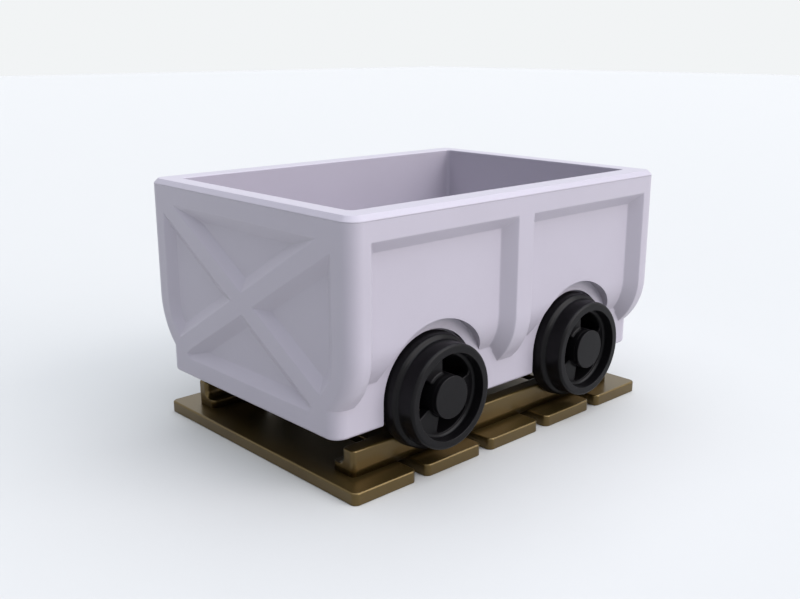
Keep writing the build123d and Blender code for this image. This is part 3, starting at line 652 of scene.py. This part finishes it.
def corner_post(steps=14):
    """A quarter-round post: an arc of POST_RADIUS swept up the wall's profile.

    Row k is the arc at height wall_rows[k], about a centre that follows the wall.
    """
    turn = np.radians(np.linspace(0, 90, steps + 1))
    z = wall_rows[:, None]
    radius = POST_RADIUS - foot_inset(z)
    width = wall_width(z) - POST_RADIUS
    x = POST_X + radius * np.cos(turn)
    y = width + radius * np.sin(turn)
    skin = np.stack([x, y, np.broadcast_to(z, x.shape)], axis=-1)
    heart = np.stack([np.full_like(z, POST_X), width, z], axis=-1)
    rings = np.concatenate([skin, heart], axis=1)
    rows, around = rings.shape[:2]
    faces = grid_faces(rows, around, close_columns=True)
    step = 2e-5
    slope = (wall_width(z + step) - wall_width(z - step)) / (2 * step)
    tuck = np.clip((foot_inset(z + step) - foot_inset(z - step)) / (2 * step), -30, 30)
    normal = np.stack([np.broadcast_to(np.cos(turn), x.shape),
                       np.broadcast_to(np.sin(turn), x.shape),
                       -slope * np.sin(turn) + tuck], axis=-1)
    normal /= np.linalg.norm(normal, axis=2, keepdims=True)
    heart_normal = np.broadcast_to(np.array([-0.7071, -0.7071, 0.0]), (rows, 1, 3))
    vertex_normals = np.concatenate([normal, heart_normal], axis=1).reshape(-1, 3)
    normals = vertex_normals[faces.ravel()].reshape(-1, 4, 3)
    column = np.tile(np.arange(around), rows - 1)
    normals[column == steps] = (-1.0, 0.0, 0.0)
    normals[column == around - 1] = (0.0, -1.0, 0.0)
    caps = [tuple(range(around - 1, -1, -1)), tuple((rows - 1) * around + np.arange(around))]
    cap_normals = np.repeat(np.array([(0, 0, -1.0), (0, 0, 1.0)]), around, axis=0)
    return (rings.reshape(-1, 3), [list(f) for f in faces] + [list(c) for c in caps],
            np.concatenate([normals.reshape(-1, 3), cap_normals]))


for end_name, end in (("front", 1), ("rear", -1)):
    for name, side in (("left", 1), ("right", -1)):
        post = placed(*corner_post(), (0, 1, 2), (end, side, 1))
        piece = make_piece(f"corner_post_{end_name}_{name}", post[0], post[1], tub_paint, post[2])
        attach(piece, "cart")
        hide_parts(f"tub_end_{end_name}", f"tub_side_{name}")

# ---- rim and bin ------------------------------------------------------------------------
# The folded inner bin and the flat rim that joins it to the walls, one skin of sprayed
# steel: chamfered outside, straight down inside, with sloped shoulders over the wheels.

RIM_TOP = 0.676
CHAMFER = 0.0117
OPEN_LENGTH = 0.517
OPEN_WIDTH = 0.355
TROUGH_WIDTH = 0.266
BIN_WALL = 0.006


def around_station(half_length, half_width, radius, z):
    """One outline centred on the tub."""
    return (-half_length, half_length, -half_width, half_width, radius, z)


def rim_and_bin_stations():
    """Outlines from the bin's outer floor, up, over the rim and down to its inner floor."""
    out = []
    outside = [(TROUGH_WIDTH + BIN_WALL, 0.240), (TROUGH_WIDTH + BIN_WALL, 0.392),
               (OPEN_WIDTH + BIN_WALL, 0.470), (OPEN_WIDTH + BIN_WALL, WALL_TOP - 0.001)]
    out += [around_station(OPEN_LENGTH + BIN_WALL, w, 0.02, z) for w, z in outside]
    out.append(around_station(HALF_LENGTH - 0.004, HALF_WIDTH - 0.004, POST_RADIUS - 0.004,
                              WALL_TOP - 0.001))
    edge = [(0.0, WALL_TOP), (0.0, RIM_TOP - CHAMFER - 0.0010), (0.00025, RIM_TOP - CHAMFER - 0.0001),
            (0.0008, RIM_TOP - CHAMFER + 0.0007), (CHAMFER - 0.0007, RIM_TOP - 0.0008),
            (CHAMFER + 0.0001, RIM_TOP - 0.00025), (CHAMFER + 0.0010, RIM_TOP)]
    out += [around_station(HALF_LENGTH - i, HALF_WIDTH - i, POST_RADIUS - i, z)
            for i, z in edge]
    inset, drop = quarter_round(0.003, 7)
    out += [around_station(OPEN_LENGTH + i, OPEN_WIDTH + i, 0.015 + i, RIM_TOP - d)
            for i, d in zip(inset[::-1], drop[::-1])]
    out += [around_station(OPEN_LENGTH, w, 0.015, z) for w, z in (
        (OPEN_WIDTH, 0.480), (OPEN_WIDTH - 0.003, 0.4755), (TROUGH_WIDTH + 0.003, 0.4025),
        (TROUGH_WIDTH, 0.398), (TROUGH_WIDTH, 0.250))]
    out.append(around_station(OPEN_LENGTH - 0.004, TROUGH_WIDTH - 0.004, 0.012, 0.246))
    return out


bin_points, bin_faces = stacked(rim_and_bin_stations(), 12)
bin_piece = make_piece("rim_and_bin", bin_points, bin_faces, tub_paint)
even_shading(bin_piece)
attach(bin_piece, "cart")
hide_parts(*[node for node in nodes if node.startswith(("rim_", "bin_"))])

# ---- wheels -----------------------------------------------------------------------------
# Four cast-iron wheels in black satin enamel: a narrow tread that runs on the rail, a
# thick round flange outside it, a large plain drum with a flat face, and a dished web
# with three round-cornered openings about a long plain hub.

wheel_enamel = noise_paint("wheel_enamel", (0.0062, 0.0057, 0.0064), (0.0048, 0.0044, 0.0050),
                           (0.26, 0.36), 800.0, 0.00005, coat=0.06, coat_rough=0.12,
                           specular=0.10)

TREAD = 0.1031
DRUM = 0.1332
FLANGE = 0.1495
HOLLOW = 0.007
HUB = 0.0543
FACE = 0.4387
WEB_FRONT = 0.4067
WEB_BACK = 0.3847
RING_INNER = 0.1104
DISH_FILLET = 0.009
WEB_RIM = RING_INNER - DISH_FILLET
OPENING_MIDDLES = (175.0, 295.0, 55.0)
OPENING_HALF = 36.0
OPENING_LOW = 0.0480
OPENING_HIGH = 0.1000
OPENING_CORNER = 0.009


def arc_points(centre, radius, start, stop, steps):
    """(along, radius) points on a circular arc, angles in degrees from outboard."""
    turn = np.radians(np.linspace(start, stop, steps + 1))
    return np.column_stack([centre[0] + radius * np.cos(turn), centre[1] + radius * np.sin(turn)])


def turned_ring(profile, steps):
    """A closed (along, radius) profile turned about the axle; along runs outboard."""
    turn = np.linspace(0, 2 * math.pi, steps, endpoint=False)
    profile = np.asarray(profile)
    x = profile[:, 1][None, :] * np.cos(turn)[:, None]
    z = profile[:, 1][None, :] * np.sin(turn)[:, None]
    along = np.broadcast_to(profile[:, 0], x.shape)
    points = np.stack([x, z, along], axis=-1).reshape(-1, 3)
    return points, grid_faces(steps, len(profile), True, True)


def profile_normals(profile, sharp=28.0):
    """Two normals for each edge of a closed profile, shared across soft corners."""
    profile = np.asarray(profile)
    step = np.roll(profile, -1, axis=0) - profile
    length = np.linalg.norm(step, axis=1, keepdims=True)
    flat = np.column_stack([step[:, 1], -step[:, 0]]) / length
    before, after = np.roll(flat, 1, axis=0), np.roll(flat, -1, axis=0)
    before_len, after_len = np.roll(length, 1, axis=0), np.roll(length, -1, axis=0)
    limit = math.cos(math.radians(sharp))
    start = np.where((np.sum(flat * before, axis=1) > limit)[:, None],
                     flat * length + before * before_len, flat)
    stop = np.where((np.sum(flat * after, axis=1) > limit)[:, None],
                    flat * length + after * after_len, flat)
    start /= np.linalg.norm(start, axis=1, keepdims=True)
    stop /= np.linalg.norm(stop, axis=1, keepdims=True)
    return start, stop


def turned_solid(profile, steps):
    """Points, faces and corner normals of a turned ring, in (x, z, outboard)."""
    points, faces = turned_ring(profile, steps)
    start, stop = profile_normals(profile)
    count = len(profile)
    turn = np.linspace(0, 2 * math.pi, steps, endpoint=False)
    ring = np.repeat(np.arange(steps), count)
    slot = np.tile(np.arange(count), steps)
    following = (ring + 1) % steps

    def spun(normal, at):
        return np.column_stack([normal[:, 1] * np.cos(turn[at]), normal[:, 1] * np.sin(turn[at]),
                                normal[:, 0]])
    corners = np.stack([spun(start[slot], ring), spun(stop[slot], ring),
                        spun(stop[slot], following), spun(start[slot], following)], axis=1)
    return points, faces.tolist(), corners.reshape(-1, 3)


def rim_profile():
    """The ring from tread to face and back, anticlockwise in (along, radius)."""
    crest, shoulder = 0.3545, 0.3790
    tilt = math.atan2(0.0032, shoulder - crest)
    heart = (shoulder - 0.009 * math.sin(tilt), FLANGE - 0.0032 - 0.009 * math.cos(tilt))
    fall = math.radians(65.0)
    shoulder_end = (heart[0] + 0.009 * math.sin(fall), heart[1] + 0.009 * math.cos(fall))
    hollow_top = DRUM + HOLLOW * (1 - math.cos(fall))
    drum_start = (shoulder_end[0] + (shoulder_end[1] - hollow_top) / math.tan(fall)
                  + HOLLOW * math.sin(fall))
    parts = [
        [(0.296, OPENING_HIGH), (WEB_BACK, OPENING_HIGH), (WEB_BACK, WEB_RIM),
         (WEB_FRONT, WEB_RIM)],
        arc_points((WEB_FRONT + DISH_FILLET, WEB_RIM), DISH_FILLET, 180, 90, 10)[1:],
        arc_points((FACE - 0.0015, RING_INNER + 0.0015), 0.0015, 270, 360, 5),
        arc_points((FACE - 0.008, DRUM - 0.008), 0.008, 0, 90, 12),
        arc_points((drum_start, DRUM + HOLLOW), HOLLOW, 270, 205, 10),
        arc_points(heart, 0.009, 25, 90 - math.degrees(tilt), 10),
        arc_points((crest, FLANGE - 0.009), 0.009, 90, 180, 11),
        [(0.3455, TREAD + 0.003)],
        arc_points((0.3425, TREAD + 0.003), 0.003, 0, -90, 5)[1:],
        arc_points((0.298, TREAD - 0.002), 0.002, 90, 180, 5),
    ]
    return np.concatenate([np.asarray(part) for part in parts])


def hub_profile():
    """The plain hub, anticlockwise in (along, radius)."""
    return np.concatenate([
        [(0.296, 0.0402), (0.4265, 0.0402), (0.4265, HUB - 0.0004), (0.4262, HUB)],
        arc_points((0.2975, HUB - 0.0015), 0.0015, 90, 180, 4)])


def cap_profile():
    """The hub's cap with its spigot, anticlockwise from the axis."""
    return np.concatenate([
        [(0.4187, 0.034), (0.4267, 0.034), (0.4267, 0.0003), (FACE, 0.0003)],
        arc_points((FACE - 0.0022, HUB - 0.0022), 0.0022, 0, 90, 7),
        [(0.4270, HUB), (0.4267, HUB - 0.0004), (0.4267, 0.040), (0.4187, 0.040)]])


def opening_outline(middle, grow, steps=8):
    """An opening's outline: a sector with round corners, moved outwards by grow.

    The corner arcs keep their centres, one corner radius from the arc and the flank.
    """
    half = math.radians(OPENING_HALF)
    corner = OPENING_CORNER + grow
    outer = OPENING_HIGH - OPENING_CORNER
    inner = OPENING_LOW + OPENING_CORNER
    outer_turn = half - math.asin(OPENING_CORNER / outer)
    inner_turn = half - math.asin(OPENING_CORNER / inner)

    def corner_arc(reach, turn, start, stop):
        angle = np.linspace(start, stop, steps + 1)
        return np.column_stack([reach * math.cos(turn) + corner * np.cos(angle),
                                reach * math.sin(turn) + corner * np.sin(angle)])
    top = corner_arc(outer, outer_turn, outer_turn, half + math.pi / 2)
    low = corner_arc(inner, inner_turn, half + math.pi / 2, inner_turn + math.pi)
    across_low = np.linspace(inner_turn, -inner_turn, 14)[1:-1]
    across_high = np.linspace(-outer_turn, outer_turn, 18)[1:-1]
    flip = np.array([1, -1])
    outline = np.concatenate([
        top, low,
        (OPENING_LOW - grow) * np.column_stack([np.cos(across_low), np.sin(across_low)]),
        low[::-1] * flip, top[::-1] * flip,
        (OPENING_HIGH + grow) * np.column_stack([np.cos(across_high), np.sin(across_high)])])
    turn = math.radians(middle)
    spin = np.array([[math.cos(turn), math.sin(turn)], [-math.sin(turn), math.cos(turn)]])
    return outline @ spin


def opening_gap(u, v):
    """Distance from (u, v) out of the nearest opening's outline; negative inside it."""
    radius = np.hypot(u, v)
    nearest = np.full(np.shape(u), 1.0)
    for middle in OPENING_MIDDLES:
        turn = np.arctan2(v, u) - math.radians(middle)
        turn = np.abs((turn + math.pi) % (2 * math.pi) - math.pi)
        flank = radius * np.sin(math.radians(OPENING_HALF) - np.minimum(turn, 1.5))
        inside = np.minimum(OPENING_HIGH - radius, radius - OPENING_LOW)
        a, b = OPENING_CORNER - inside, OPENING_CORNER - flank
        rounded = np.hypot(np.maximum(a, 0), np.maximum(b, 0)) + np.minimum(np.maximum(a, b), 0)
        nearest = np.minimum(nearest, rounded - OPENING_CORNER)
    return nearest


EDGE = 0.003


def web_skin(u, v):
    """Front of the web: flat, round at the openings, swept up to the hub."""
    gap = np.clip(EDGE - opening_gap(u, v), 0, EDGE)
    drop = EDGE - np.sqrt(np.maximum(EDGE ** 2 - gap ** 2, 0))
    close = np.clip(HUB + 0.006 - np.hypot(u, v), 0, 0.006)
    rise = 0.006 - np.sqrt(np.maximum(0.006 ** 2 - close ** 2, 0))
    return WEB_FRONT - drop + rise


def web_back(u, v):
    """Back of the web: flat."""
    return WEB_BACK + 0 * u


web_runs, web_edges, first = [], [], 0
for radius, count in ((HUB - 0.0002, 96), (HUB + 0.0006, 96), (HUB + 0.002, 96),
                      (HUB + 0.004, 96), (HUB + 0.0058, 96), (WEB_RIM, 128)):
    turn = np.linspace(0, 2 * math.pi, count, endpoint=False)
    web_runs.append(radius * np.column_stack([np.cos(turn), np.sin(turn)]))
    web_edges += [(first + k, first + (k + 1) % count) for k in range(count)]
    first += count
for middle in OPENING_MIDDLES:
    for grow in (0.0, 0.0002, 0.0007, 0.0015, 0.003):
        outline = opening_outline(middle, grow)
        keep = np.hypot(outline[:, 0], outline[:, 1]) > HUB + 0.006
        outline = outline if grow < 0.002 else outline[keep]
        web_runs.append(outline)
        if grow < 0.002:
            web_edges += [(first + k, first + (k + 1) % len(outline))
                          for k in range(len(outline))]
        first += len(outline)
web_flat, web_triangles = triangulate(
    np.concatenate(web_runs), web_edges,
    lambda u, v: (opening_gap(u, v) > 0) & (np.hypot(u, v) > HUB - 0.0003)
    & (np.hypot(u, v) < WEB_RIM))


def joined(parts):
    """Several (points, faces, normals) as one."""
    points, faces, normals, shift = [], [], [], 0
    for part in parts:
        points.append(part[0])
        faces += [[index + shift for index in face] for face in part[1]]
        normals.append(part[2])
        shift += len(part[0])
    return np.concatenate(points), faces, np.concatenate(normals)


def at_wheel(shape, end, side):
    """Moves a shape from (x, z, outboard) to its place on the cart."""
    points, faces, normals = placed(*shape, (0, 2, 1), (1, 1, side))
    return points + (end * WHEEL_X, 0.0, AXLE_HEIGHT), faces, normals


wheel_shape = joined([turned_solid(rim_profile(), 160), turned_solid(hub_profile(), 96),
                      wall_slab(web_flat, web_triangles, web_skin, web_back)])
cap_shape = turned_solid(cap_profile(), 96)
for end_name, end in (("front", 1), ("rear", -1)):
    for name, side in (("left", 1), ("right", -1)):
        place = f"{end_name}_{name}"
        wheel = make_piece(f"wheel_casting_{place}", *at_wheel(wheel_shape, end, side)[:2],
                           wheel_enamel, at_wheel(wheel_shape, end, side)[2])
        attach(wheel, f"wheel_set_{place}")
        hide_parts(f"wheel_{place}")
        cap = make_piece(f"hub_cover_{place}", *at_wheel(cap_shape, end, side)[:2],
                         wheel_enamel, at_wheel(cap_shape, end, side)[2])
        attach(cap, f"wheel_set_{place}")
        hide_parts(f"hub_cap_{place}")

# ---- underframe and running gear --------------------------------------------------------
# Sills, headstocks and axle boxes in black chassis paint; axles, thrust parts, bolts, screws
# and bearings in plain machined steel; rubber seals; floor rivets and wells in the tub's own paint.

frame_paint = noise_paint("chassis_paint", (0.05, 0.05, 0.055), (0.035, 0.035, 0.04),
                          (0.4, 0.55), 600.0, 0.00008)
steel = noise_paint("machined_steel", (0.52, 0.53, 0.55), (0.42, 0.43, 0.45),
                    (0.25, 0.4), 1500.0, 0.00003, metal=1.0)
rubber = noise_paint("seal_rubber", (0.03, 0.03, 0.03), (0.02, 0.02, 0.02),
                     (0.6, 0.75), 1200.0, 0.00004)
finish_of = {"sill": frame_paint, "headstock": frame_paint, "axle_box_bolts": steel,
             "axle_box": frame_paint, "axle": steel, "thrust": steel, "floor_rivets": tub_paint,
             "rail_screws": steel, "wheel_well": tub_paint, "bearings": steel, "seal": rubber}
for node_name, node in nodes.items():
    for start, finish in finish_of.items():
        if node_name.startswith(start):
            node.data.materials.clear()
            node.data.materials.append(finish)
            break
